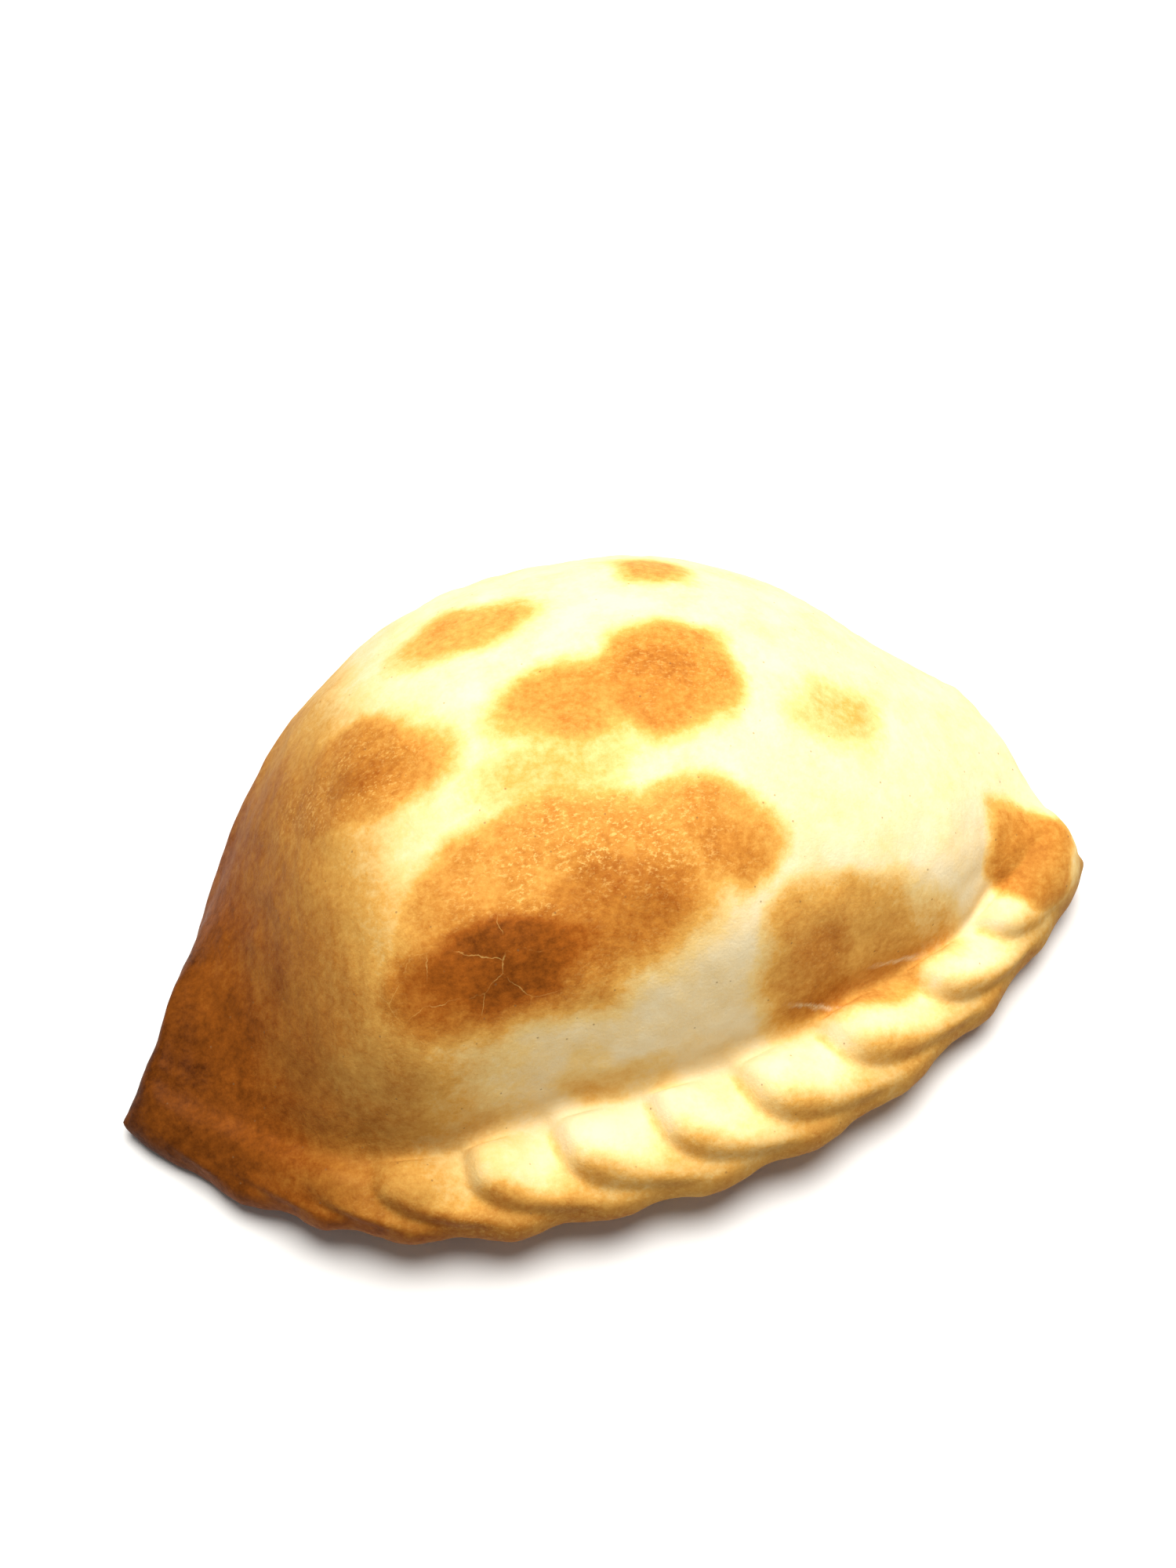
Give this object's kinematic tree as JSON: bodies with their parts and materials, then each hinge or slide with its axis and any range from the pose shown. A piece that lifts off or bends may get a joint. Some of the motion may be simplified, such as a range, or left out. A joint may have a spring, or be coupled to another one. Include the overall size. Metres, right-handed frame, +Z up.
{
  "type": "empanada",
  "caption": "Whole baked half-moon empanada with a domed crust, plump fold, rope-crimped edge, flat left end and rounded right end.",
  "frame": {"origin": "centre of the bounding box, on the plane of the table that the empanada lies on", "axes": "+X along the length, from the flat left end to the rounded right end; +Y from the crimped edge towards the plump fold; +Z up"},
  "size_m": [0.1216, 0.0848, 0.039],
  "materials": {
    "crust": "matt baked dough, pale cream with golden-brown patches and browned crimps"
  },
  "bodies": {
    "root": {"empanada": "crust"}
  },
  "joints": []
}
